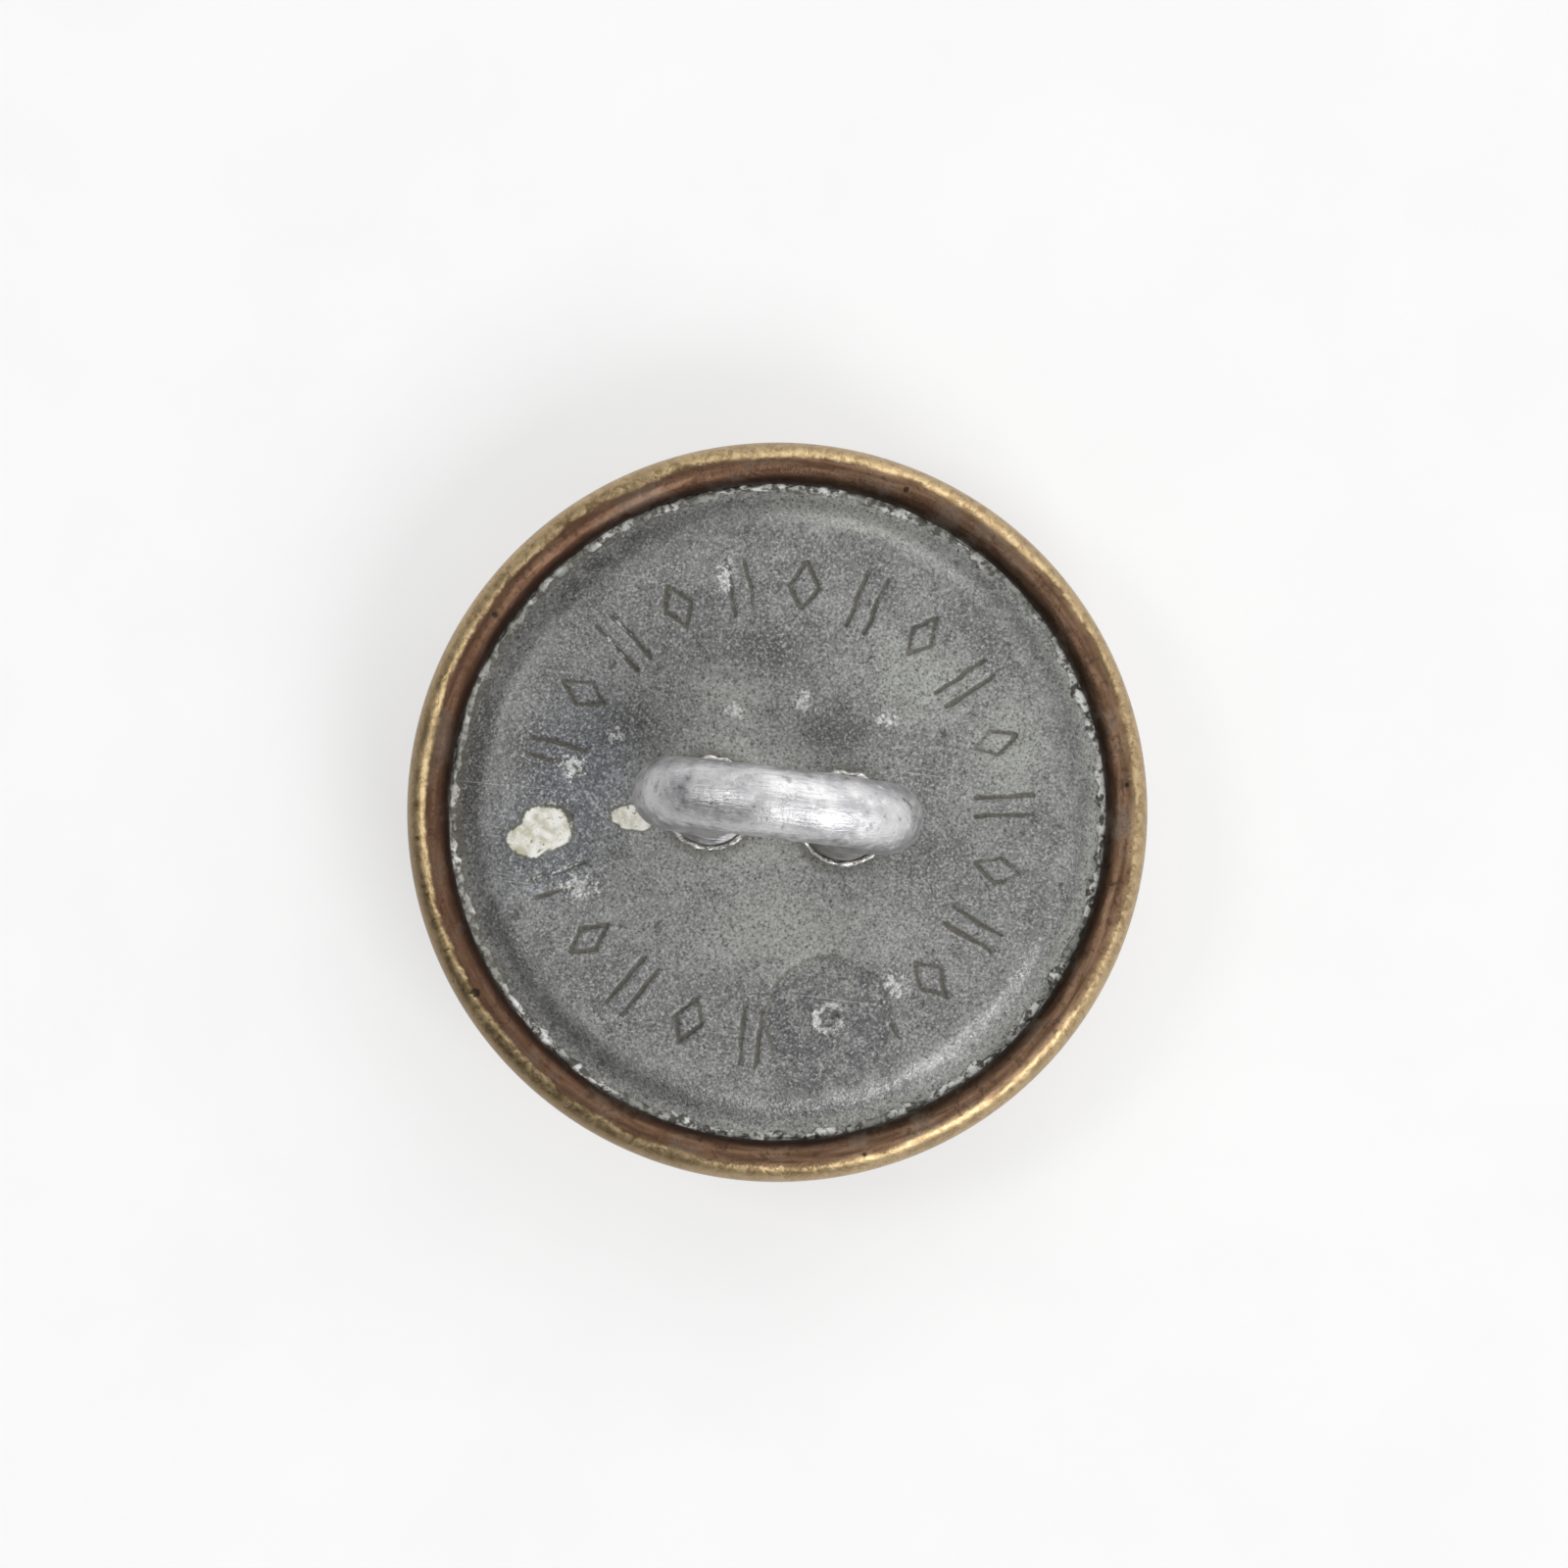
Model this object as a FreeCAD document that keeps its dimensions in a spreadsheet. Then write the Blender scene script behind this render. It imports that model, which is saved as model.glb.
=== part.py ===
import FreeCAD, Part
import math
import os
import Sketcher
from FreeCAD import Vector

# A metal shank button, lying on its front with the wire shank upwards. The frame is +Z up through
# the shank, the loop stands along X, and the origin is on the plane that the front border rests on.

doc = FreeCAD.newDocument("shank_button")

SIZES = (
    ("button_diameter", 22.0, "across the rolled rim"),
    ("brass_thickness", 0.4, "sheet of the front shell"),
    ("dome_radius", 15.5, "outside of the domed front"),
    ("edge_radius", 0.8, "outside of the bend from the dome to the side"),
    ("roll_radius", 0.62, "outside of the edge rolled over the back plate"),
    ("lip_drop", 0.15, "straight end of the rolled edge, down to the back plate"),
    ("border_radius", 5.3, "middle of the raised border on the front"),
    ("border_land", 0.4, "flat top of the border"),
    ("border_flank", 0.15, "width of each sloping side of the border"),
    ("border_height", 0.3, "border above the field inside it"),
    ("plate_thickness", 0.45, "sheet of the back plate"),
    ("plate_rise", 0.45, "middle of the back plate above its flange"),
    ("flange_show", 0.36, "flange left bare between the slope and the rolled edge"),
    ("slope_width", 0.8, "slope from the raised middle down to the flange"),
    ("ridge_bend", 1.2, "inside of the bend at the top of the slope"),
    ("flange_bend", 0.3, "inside of the bend at the foot of the slope"),
    ("flange_gap", 0.15, "flange to the side of the front shell"),
    ("seat_gap", 0.01, "flange to the bend that it sits in"),
    ("foot_pitch", 4.0, "between the two feet of the loop"),
    ("wire_diameter", 2.1, "wire of the loop"),
    ("loop_width", 8.6, "across the loop, outside"),
    ("ankle_bend", 1.3, "centre line of the bend above each foot"),
    ("side_bend", 1.9, "centre line of the loop's two sides"),
    ("crown_bend", 4.6, "centre line of the loop's top"),
    ("shoulder_step", 0.175, "disc at each foot beyond the wire, all round"),
    ("shoulder_height", 0.25, "thickness of that disc"),
    ("tenon_diameter", 1.6, "end of the wire inside the plate's hole"),
    ("tenon_gap", 0.03, "all round the end of the wire in its hole"),
    ("rivet_spread", 0.4, "head under the plate beyond the wire's end, all round"),
    ("rivet_height", 0.5, "thickness of that head"),
    ("collar_gap", 0.05, "shoulder to the collar round it"),
    ("collar_width", 0.14, "wall of the raised collar round each hole"),
    ("collar_height", 0.13, "collar above the plate"),
    ("filler_gap", 0.05, "card filler to the domed shell"),
    ("filler_inset", 1.1, "card filler to the side of the shell"),
    ("mark_margin", 1.0, "ring of struck marks to the edge of the raised middle"),
    ("mark_height", 1.7, "each mark along the radius"),
    ("lozenge_width", 1.0, "across a lozenge"),
    ("stroke_width", 0.16, "cut of every mark"),
    ("stroke_pitch", 0.56, "between the two strokes of a pair"),
    ("mark_depth", 0.1, "cut below the plate"),
    ("mark_count", 11, "lozenges in the ring, and pairs of strokes"),
    ("punch_turn", 290.6, "degrees from X round to the punch mark"),
    ("punch_inset", 0.4, "middle of the punch mark inside the middle of the ring"),
    ("punch_diameter", 3.7, "across the punch mark's flat floor"),
    ("punch_depth", 0.12, "that floor below the plate"),
    ("dimple_diameter", 0.8, "dimple in the middle of the punch mark"),
    ("dimple_depth", 0.26, "dimple below the plate"),
)

sheet = doc.addObject("Spreadsheet::Sheet", "Sizes")
for row, (alias, number, note) in enumerate(SIZES, start=1):
    sheet.set(f"A{row}", alias)
    sheet.set(f"B{row}", str(number))
    sheet.set(f"C{row}", note)
    sheet.setAlias(f"B{row}", alias)
doc.recompute()


def value(expression):
    """Number that an expression in the sheet's cells gives."""
    return float(sheet.evalExpression(expression))


def origin_feature(body, role):
    """Plane or axis of the body's own origin."""
    return next(feature for feature in body.Origin.OriginFeatures if feature.Role == role)


def new_body(label):
    body = doc.addObject("PartDesign::Body", label)
    body.Label = label
    return body


def new_sketch(body, name, role, level=None):
    """Sketch on an origin plane, raised to a level that the sheet gives."""
    sketch = body.newObject("Sketcher::SketchObject", name)
    sketch.AttachmentSupport = [(origin_feature(body, role), "")]
    sketch.MapMode = "FlatFace"
    if level:
        sketch.setExpression("AttachmentOffset.Base.z", level)
    return sketch


def bind(sketch, kind, place, expression):
    """Dimension whose value stays tied to the sheet."""
    index = sketch.addConstraint(Sketcher.Constraint(kind, *place, value(expression)))
    sketch.setExpression(f"Constraints[{index}]", expression)


def pin_point(sketch, edge, end, across, up):
    """Hold one end of an edge at a place measured from the sketch's origin."""
    if across == "0" and up == "0":
        sketch.addConstraint(Sketcher.Constraint("Coincident", edge, end, -1, 1))
        return
    if across == "0":
        sketch.addConstraint(Sketcher.Constraint("PointOnObject", edge, end, -2))
    else:
        bind(sketch, "DistanceX", (-1, 1, edge, end), across)
    if up == "0":
        sketch.addConstraint(Sketcher.Constraint("PointOnObject", edge, end, -1))
    else:
        bind(sketch, "DistanceY", (-1, 1, edge, end), up)


def draw_arc(sketch, start, end, side, radius):
    """Arc of less than half a turn, with its centre to the left or right of the way from start to end."""
    along = end.sub(start)
    chord = along.Length
    towards = Vector(-along.y / chord, along.x / chord, 0)
    if side == "right":
        towards = towards.negative()
    reach = math.sqrt(max(radius**2 - chord**2 / 4, 0))
    centre = start.add(along.multiply(0.5)).add(towards.multiply(reach))
    first, last = (start, end) if side == "left" else (end, start)
    begin = math.atan2(first.y - centre.y, first.x - centre.x)
    finish = math.atan2(last.y - centre.y, last.x - centre.x)
    if finish < begin:
        finish += 2 * math.pi
    circle = Part.Circle(centre, Vector(0, 0, 1), radius)
    return sketch.addGeometry(Part.ArcOfCircle(circle, begin, finish), False)


def draw_outline(sketch, corners, closed=True):
    """Lines and arcs from corner to corner: (across, up), and side and radius where an arc leaves it."""
    places = [Vector(value(corner[0]), value(corner[1]), 0) for corner in corners]
    count = len(corners) if closed else len(corners) - 1
    edges = []
    for index in range(count):
        start, end = places[index], places[(index + 1) % len(places)]
        if len(corners[index]) == 2:
            edge = sketch.addGeometry(Part.LineSegment(start, end), False)
            edges.append((edge, 1, 2))
            continue
        side, radius = corners[index][2:]
        edge = draw_arc(sketch, start, end, side, value(radius))
        edges.append((edge, 1, 2) if side == "left" else (edge, 2, 1))
        bind(sketch, "Radius", (edge,), radius)
    for index, (edge, first, last) in enumerate(edges):
        pin_point(sketch, edge, first, corners[index][0], corners[index][1])
        if index + 1 < len(edges) or closed:
            following = edges[(index + 1) % len(edges)]
            sketch.addConstraint(Sketcher.Constraint("Coincident", edge, last, following[0], following[1]))
    if not closed:
        edge, first, last = edges[-1]
        pin_point(sketch, edge, last, corners[-1][0], corners[-1][1])


def draw_circles(sketch, places, diameter):
    """Circles of one diameter at each place."""
    for across, up in places:
        circle = Part.Circle(Vector(value(across), value(up), 0), Vector(0, 0, 1), value(diameter) / 2)
        edge = sketch.addGeometry(circle, False)
        pin_point(sketch, edge, 3, across, up)
        bind(sketch, "Diameter", (edge,), diameter)


def revolve(body, name, sketch):
    feature = body.newObject("PartDesign::Revolution", name)
    feature.Profile = sketch
    feature.ReferenceAxis = (origin_feature(body, "Z_Axis"), [""])
    feature.Angle = 360
    doc.recompute()
    return feature


def pad(body, name, sketch, height):
    feature = body.newObject("PartDesign::Pad", name)
    feature.Profile = sketch
    feature.setExpression("Length", height)
    doc.recompute()
    return feature


def pocket(body, name, sketch, depth):
    """Cut downwards from the sketch, and check that it took something away."""
    before = body.Tip.Shape.Volume
    feature = body.newObject("PartDesign::Pocket", name)
    feature.Profile = sketch
    feature.setExpression("Length", depth)
    doc.recompute()
    if feature.Shape.Volume >= before:
        raise ValueError(f"{name} cuts nothing")
    return feature


def circle_edges(shape, radius, level):
    """Names of the whole circles with this radius at this height."""
    names = []
    for index, edge in enumerate(shape.Edges, start=1):
        if not isinstance(edge.Curve, Part.Circle) or not edge.isClosed():
            continue
        if abs(edge.Curve.Radius - radius) < 1e-4 and abs(edge.Curve.Center.z - level) < 1e-4:
            names.append(f"Edge{index}")
    if not names:
        raise ValueError(f"no circle of radius {radius} at height {level}")
    return names


def round_circles(body, name, radius, level, fillet):
    """Fillet on the circles that the sheet's values name."""
    base = body.Tip
    feature = body.newObject("PartDesign::Fillet", name)
    feature.Base = (base, circle_edges(base.Shape, value(radius), value(level)))
    feature.setExpression("Radius", fillet)
    doc.recompute()
    return feature


def repeat_round(body, name, original):
    """Copies of a cut all round the middle of the plate."""
    pattern = body.newObject("PartDesign::PolarPattern", name)
    pattern.Originals = [original]
    pattern.Axis = (origin_feature(body, "Z_Axis"), [""])
    pattern.Angle = 360
    pattern.setExpression("Occurrences", "Sizes.mark_count")
    body.Tip = pattern
    doc.recompute()
    return pattern


# Heights and radii shared by the pieces, as expressions in the sheet's cells.
outer = "(Sizes.button_diameter / 2)"
sheet_in = "Sizes.brass_thickness"
field = "Sizes.border_height"
border_foot = "(Sizes.border_radius + Sizes.border_land / 2 + Sizes.border_flank)"
dome_centre = f"({field} + sqrt(Sizes.dome_radius^2 - {border_foot}^2))"
edge_reach = f"({outer} - Sizes.edge_radius)"
edge_span = "(Sizes.dome_radius - Sizes.edge_radius)"
edge_drop = f"sqrt({edge_span}^2 - {edge_reach}^2)"
edge_level = f"({dome_centre} - {edge_drop})"
flange_radius = f"({outer} - {sheet_in} - Sizes.flange_gap)"
flange_bottom = (
    f"({edge_level} - sqrt((Sizes.edge_radius - {sheet_in})^2 - ({flange_radius} - {edge_reach})^2)"
    " + Sizes.seat_gap)"
)
flange_top = f"({flange_bottom} + Sizes.plate_thickness)"
roll_level = f"({flange_top} + Sizes.lip_drop)"
plate_top = f"({flange_top} + Sizes.plate_rise)"
plate_bottom = f"({plate_top} - Sizes.plate_thickness)"
rivet_bottom = f"({plate_bottom} - Sizes.rivet_height)"
foot_x = "(Sizes.foot_pitch / 2)"
feet = ((foot_x, "0"), (f"-{foot_x}", "0"))
lip_inner = f"({outer} - 2 * Sizes.roll_radius)"
slope_foot = f"({lip_inner} - Sizes.flange_show)"
table_radius = f"({slope_foot} - Sizes.slope_width)"
mark_radius = f"({table_radius} - Sizes.mark_margin - Sizes.mark_height / 2)"
shoulder_diameter = "(Sizes.wire_diameter + 2 * Sizes.shoulder_step)"
rivet_diameter = "(Sizes.tenon_diameter + 2 * Sizes.rivet_spread)"


def make_front_shell():
    """Brass sheet pressed to a dome with a plain raised border, its edge rolled over the back plate."""
    body = new_body("front_shell")
    sketch = new_sketch(body, "shell_section", "XZ_Plane")
    land = "Sizes.border_land / 2"
    inner_foot = f"(Sizes.border_radius - {land} - Sizes.border_flank)"
    inner_dome = f"(Sizes.dome_radius - {sheet_in})"
    roll_in = f"(Sizes.roll_radius - {sheet_in})"
    crest = f"({outer} - Sizes.roll_radius)"
    inner_field = f"({field} + {sheet_in})"
    draw_outline(
        sketch,
        (
            ("0", field),
            (inner_foot, field),
            (f"Sizes.border_radius - {land}", "0"),
            (f"Sizes.border_radius + {land}", "0"),
            (border_foot, field, "left", "Sizes.dome_radius"),
            (
                f"Sizes.dome_radius * {edge_reach} / {edge_span}",
                f"{dome_centre} - Sizes.dome_radius * {edge_drop} / {edge_span}",
                "left",
                "Sizes.edge_radius",
            ),
            (outer, edge_level),
            (outer, roll_level, "left", "Sizes.roll_radius"),
            (crest, f"{roll_level} + Sizes.roll_radius", "left", "Sizes.roll_radius"),
            (lip_inner, roll_level),
            (lip_inner, flange_top),
            (f"{lip_inner} + {sheet_in}", flange_top),
            (f"{lip_inner} + {sheet_in}", roll_level, "right", roll_in),
            (crest, f"{roll_level} + {roll_in}", "right", roll_in),
            (f"{outer} - {sheet_in}", roll_level),
            (f"{outer} - {sheet_in}", edge_level, "right", f"Sizes.edge_radius - {sheet_in}"),
            (
                f"{inner_dome} * {edge_reach} / {edge_span}",
                f"{dome_centre} - {inner_dome} * {edge_drop} / {edge_span}",
                "right",
                inner_dome,
            ),
            (f"sqrt({inner_dome}^2 - ({dome_centre} - {inner_field})^2)", inner_field),
            ("0", inner_field),
        ),
    )
    revolve(body, "shell_spun", sketch)
    return body


def make_back_plate():
    """Zinc sheet pressed with a raised middle, struck with plain marks and holed for the loop's feet."""
    body = new_body("back_plate")
    sketch = new_sketch(body, "plate_section", "XZ_Plane")
    slope = "sqrt(Sizes.slope_width^2 + Sizes.plate_rise^2)"
    shift = f"(Sizes.plate_thickness * ({slope} - Sizes.slope_width) / Sizes.plate_rise)"
    draw_outline(
        sketch,
        (
            ("0", plate_bottom),
            (f"{table_radius} - {shift}", plate_bottom),
            (f"{slope_foot} - {shift}", flange_bottom),
            (flange_radius, flange_bottom),
            (flange_radius, flange_top),
            (slope_foot, flange_top),
            (table_radius, plate_top),
            ("0", plate_top),
        ),
    )
    revolve(body, "plate_spun", sketch)
    outside_ridge = "Sizes.ridge_bend + Sizes.plate_thickness"
    outside_foot = "Sizes.flange_bend + Sizes.plate_thickness"
    round_circles(body, "ridge_outside", table_radius, plate_top, outside_ridge)
    round_circles(body, "ridge_inside", f"{table_radius} - {shift}", plate_bottom, "Sizes.ridge_bend")
    round_circles(body, "foot_inside", slope_foot, flange_top, "Sizes.flange_bend")
    round_circles(body, "foot_outside", f"{slope_foot} - {shift}", flange_bottom, outside_foot)

    collars = new_sketch(body, "collar_rings", "XY_Plane", plate_top)
    collar_bore = f"{shoulder_diameter} + 2 * Sizes.collar_gap"
    draw_circles(collars, feet, collar_bore)
    draw_circles(collars, feet, f"{collar_bore} + 2 * Sizes.collar_width")
    pad(body, "collars", collars, "Sizes.collar_height")

    holes = new_sketch(body, "hole_circles", "XY_Plane", plate_top)
    draw_circles(holes, feet, "Sizes.tenon_diameter + 2 * Sizes.tenon_gap")
    pocket(body, "holes", holes, "Sizes.plate_thickness")
    strike_marks(body)
    return body


def strike_marks(body):
    """Cut the ring of lozenges and paired strokes, and the round punch mark with its dimple."""
    half_height = "(Sizes.mark_height / 2)"
    half_width = "(Sizes.lozenge_width / 2)"
    side = f"sqrt({half_height}^2 + {half_width}^2)"
    inner_height = f"({half_height} - Sizes.stroke_width * {side} / {half_width})"
    inner_width = f"({half_width} - Sizes.stroke_width * {side} / {half_height})"
    lozenge = new_sketch(body, "lozenge_outline", "XY_Plane", plate_top)
    for wide, tall in ((half_width, half_height), (inner_width, inner_height)):
        draw_outline(
            lozenge,
            (
                ("0", f"{mark_radius} - {tall}"),
                (wide, mark_radius),
                ("0", f"{mark_radius} + {tall}"),
                (f"-{wide}", mark_radius),
            ),
        )
    repeat_round(body, "lozenge_ring", pocket(body, "lozenge", lozenge, "Sizes.mark_depth"))

    strokes = new_sketch(body, "stroke_outlines", "XY_Plane", plate_top)
    low = f"-({mark_radius} + {half_height})"
    high = f"-({mark_radius} - {half_height})"
    for sign in ("", "-"):
        left = f"{sign}Sizes.stroke_pitch / 2 - Sizes.stroke_width / 2"
        right = f"{sign}Sizes.stroke_pitch / 2 + Sizes.stroke_width / 2"
        draw_outline(strokes, ((left, low), (right, low), (right, high), (left, high)))
    repeat_round(body, "stroke_ring", pocket(body, "stroke_pair", strokes, "Sizes.mark_depth"))

    reach = f"({mark_radius} - Sizes.punch_inset)"
    middle = ((f"{reach} * cos(Sizes.punch_turn * 1 deg)", f"{reach} * sin(Sizes.punch_turn * 1 deg)"),)
    for name in ("punch", "dimple"):
        circle = new_sketch(body, f"{name}_circle", "XY_Plane", plate_top)
        draw_circles(circle, middle, f"Sizes.{name}_diameter")
        pocket(body, name, circle, f"Sizes.{name}_depth")


def make_shank_loop():
    """Aluminium wire bent to a loop, upset to a shoulder at each foot and riveted over under the plate."""
    body = new_body("shank_loop")
    path = new_sketch(body, "loop_path", "XZ_Plane")
    half_width = "((Sizes.loop_width - Sizes.wire_diameter) / 2)"
    ankle_level = f"({plate_top} + Sizes.shoulder_height)"
    lean = f"(1 - ({half_width} - {foot_x}) / (Sizes.ankle_bend + Sizes.side_bend))"
    rise = f"sqrt(1 - {lean}^2)"
    side_x = f"({half_width} - Sizes.side_bend)"
    side_level = f"({ankle_level} + (Sizes.ankle_bend + Sizes.side_bend) * {rise})"
    crown_span = "(Sizes.crown_bend - Sizes.side_bend)"
    crown_drop = f"sqrt({crown_span}^2 - {side_x}^2)"
    joint_x = f"(Sizes.crown_bend * {side_x} / {crown_span})"
    joint_level = f"({side_level} - {crown_drop} + Sizes.crown_bend * {crown_drop} / {crown_span})"
    ankle_x = f"({foot_x} + Sizes.ankle_bend * (1 - {lean}))"
    ankle_end = f"({ankle_level} + Sizes.ankle_bend * {rise})"
    draw_outline(
        path,
        (
            (f"-{foot_x}", plate_top),
            (f"-{foot_x}", ankle_level, "left", "Sizes.ankle_bend"),
            (f"-{ankle_x}", ankle_end, "right", "Sizes.side_bend"),
            (f"-{joint_x}", joint_level, "right", "Sizes.crown_bend"),
            (joint_x, joint_level, "right", "Sizes.side_bend"),
            (ankle_x, ankle_end, "left", "Sizes.ankle_bend"),
            (foot_x, ankle_level),
            (foot_x, plate_top),
        ),
        closed=False,
    )
    section = new_sketch(body, "wire_section", "XY_Plane", plate_top)
    draw_circles(section, feet[1:], "Sizes.wire_diameter")
    doc.recompute()
    wire = body.newObject("PartDesign::AdditivePipe", "wire")
    wire.Profile = section
    wire.Spine = (path, [f"Edge{index}" for index in range(1, 8)])
    doc.recompute()

    shoulders = new_sketch(body, "shoulder_circles", "XY_Plane", plate_top)
    draw_circles(shoulders, feet, shoulder_diameter)
    pad(body, "shoulders", shoulders, "Sizes.shoulder_height")
    tenons = new_sketch(body, "tenon_circles", "XY_Plane", plate_bottom)
    draw_circles(tenons, feet, "Sizes.tenon_diameter")
    pad(body, "tenons", tenons, "Sizes.plate_thickness")
    rivets = new_sketch(body, "rivet_circles", "XY_Plane", rivet_bottom)
    draw_circles(rivets, feet, rivet_diameter)
    pad(body, "rivets", rivets, "Sizes.rivet_height")
    round_circles(body, "rivet_edges", f"{rivet_diameter} / 2", rivet_bottom, "Sizes.rivet_height / 2")
    return body


def make_card_filler():
    """Pressed card that backs the thin shell, under the rivet heads."""
    body = new_body("card_filler")
    sketch = new_sketch(body, "filler_section", "XZ_Plane")
    floor = f"({field} + {sheet_in})"
    radius = f"(Sizes.dome_radius - {sheet_in} - Sizes.filler_gap)"
    filler_side = f"({outer} - {sheet_in} - Sizes.filler_inset)"
    draw_outline(
        sketch,
        (
            ("0", floor),
            (f"sqrt({radius}^2 - ({dome_centre} - {floor})^2)", floor, "left", radius),
            (filler_side, f"{dome_centre} - sqrt({radius}^2 - {filler_side}^2)"),
            (filler_side, rivet_bottom),
            ("0", rivet_bottom),
        ),
    )
    revolve(body, "filler_spun", sketch)
    return body


pieces = (make_front_shell(), make_back_plate(), make_shank_loop(), make_card_filler())
doc.recompute()

for item in doc.Objects:
    if "Invalid" in item.State or "Error" in item.State:
        raise RuntimeError(f"{item.Label} failed: {item.State}")
for piece in pieces:
    if piece.Shape.isNull() or not piece.Shape.isValid() or len(piece.Shape.Solids) != 1:
        raise RuntimeError(f"{piece.Label} isn't one valid solid")

os.makedirs("parts", exist_ok=True)
for piece in pieces:
    piece.Shape.exportStep(os.path.join("parts", f"{piece.Label}.step"))
    box = piece.Shape.BoundBox
    print(f"{piece.Label}: {piece.Shape.Volume:.3f} mm3, z {box.ZMin:.3f} to {box.ZMax:.3f}")
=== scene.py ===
import math
import bmesh
import bpy
from mathutils import Matrix, Vector, noise


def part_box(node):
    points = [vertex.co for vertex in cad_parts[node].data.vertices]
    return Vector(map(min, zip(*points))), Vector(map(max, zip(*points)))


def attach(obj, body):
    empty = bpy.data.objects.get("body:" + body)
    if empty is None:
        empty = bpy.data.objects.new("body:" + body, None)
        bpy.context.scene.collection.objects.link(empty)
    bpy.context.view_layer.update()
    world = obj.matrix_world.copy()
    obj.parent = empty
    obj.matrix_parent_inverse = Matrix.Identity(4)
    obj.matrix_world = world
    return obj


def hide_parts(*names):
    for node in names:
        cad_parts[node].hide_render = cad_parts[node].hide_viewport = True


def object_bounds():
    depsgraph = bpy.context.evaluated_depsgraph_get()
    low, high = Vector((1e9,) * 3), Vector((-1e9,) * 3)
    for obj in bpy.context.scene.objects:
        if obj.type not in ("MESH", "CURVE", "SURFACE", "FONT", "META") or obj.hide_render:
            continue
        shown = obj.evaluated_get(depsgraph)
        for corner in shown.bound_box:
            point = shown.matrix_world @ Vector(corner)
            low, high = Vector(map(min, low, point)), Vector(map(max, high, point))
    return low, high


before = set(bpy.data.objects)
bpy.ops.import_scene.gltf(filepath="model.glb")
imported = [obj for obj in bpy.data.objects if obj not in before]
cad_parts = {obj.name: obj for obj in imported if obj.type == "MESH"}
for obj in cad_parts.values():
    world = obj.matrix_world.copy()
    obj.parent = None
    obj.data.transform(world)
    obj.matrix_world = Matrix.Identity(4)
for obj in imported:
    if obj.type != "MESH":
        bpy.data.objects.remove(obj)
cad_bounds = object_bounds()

# ---------------------------------------------------------------------------------------------
# Front shell: thin brass sheet pressed to a dome with a plain raised border. Its edge stands up
# and is rolled inwards over the back plate, which is what holds the button together.
# ---------------------------------------------------------------------------------------------
MM = 0.001
brass_sheet = 0.4 * MM
dome_radius = 15.5 * MM
edge_radius = 0.8 * MM
roll_radius = 0.62 * MM
border_radius = 5.3 * MM
border_land = 0.4 * MM
border_flank = 0.15 * MM
border_height = 0.3 * MM
lip_drop = 0.15 * MM
shell_turn_steps = 640
shell_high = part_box("front_shell")[1]
button_radius = shell_high.x
crest_radius = button_radius - roll_radius
roll_level = shell_high.z - roll_radius
rolled_edge_radius = button_radius - 2 * roll_radius
border_inner = border_radius - border_land / 2
border_outer = border_radius + border_land / 2
flange_top = roll_level - lip_drop


def set_pen(place):
    """Start a new mesh with one vertex, a small square merged to its middle, to draw on from."""
    bpy.ops.object.select_all(action="DESELECT")
    bpy.ops.mesh.primitive_plane_add(size=0.1 * MM, location=place)
    bpy.ops.object.transform_apply(location=True)
    bpy.ops.object.mode_set(mode="EDIT")
    bpy.ops.mesh.select_all(action="SELECT")
    bpy.ops.mesh.merge(type="CENTER")


def pen_place():
    """Middle of what is selected: where the next stroke starts."""
    mesh = bmesh.from_edit_mesh(bpy.context.edit_object.data)
    chosen = [vertex.co for vertex in mesh.verts if vertex.select]
    return sum(chosen, Vector()) / len(chosen)


def draw_to(place, pieces=1):
    """Extrude the selected vertex or face straight to a place, in equal pieces."""
    step = (Vector(place) - pen_place()) / pieces
    for _ in range(pieces):
        bpy.ops.mesh.extrude_region_move(TRANSFORM_OT_translate={"value": step})


def bend_round(centre, degrees, pieces):
    """Carry the selected vertex or face round a centre: positive turns from +X up to +Z."""
    bpy.ops.mesh.spin(steps=pieces, angle=math.radians(degrees), center=centre, axis=(0, 1, 0))


def spin_section(steps):
    """Turn the drawn section all round the button's middle and close the seam and the poles."""
    bpy.ops.mesh.select_all(action="SELECT")
    bpy.ops.mesh.spin(steps=steps, angle=math.tau, center=(0, 0, 0), axis=(0, 0, 1))
    bpy.ops.mesh.select_all(action="SELECT")
    bpy.ops.mesh.remove_doubles(threshold=0.002 * MM)
    bpy.ops.mesh.normals_make_consistent(inside=False)


def finish_piece(name, finish, cad_node):
    """Name the piece, give it its finish and put it on the button, for its CAD node if it has one."""
    if bpy.context.mode != "OBJECT":
        bpy.ops.object.mode_set(mode="OBJECT")
    piece = bpy.context.active_object
    piece.name = name
    piece.data.name = name
    piece.data.materials.clear()
    piece.data.materials.append(finish)
    bpy.ops.object.shade_smooth()
    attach(piece, "root")
    if cad_node:
        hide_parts(cad_node)
    return piece


def new_finish(name):
    """Start a material and hand back its shader too."""
    finish = bpy.data.materials.new(name)
    finish.use_nodes = True
    return finish, finish.node_tree.nodes["Principled BSDF"]


def node(finish, kind, inputs=(), **settings):
    """Add a node, set its properties and its inputs, which are numbers or other nodes' outputs."""
    made = finish.node_tree.nodes.new(kind)
    for key, setting in settings.items():
        setattr(made, key, setting)
    for socket, given in dict(inputs).items():
        if isinstance(given, bpy.types.NodeSocket):
            finish.node_tree.links.new(given, made.inputs[socket])
        else:
            made.inputs[socket].default_value = given
    return made


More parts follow.
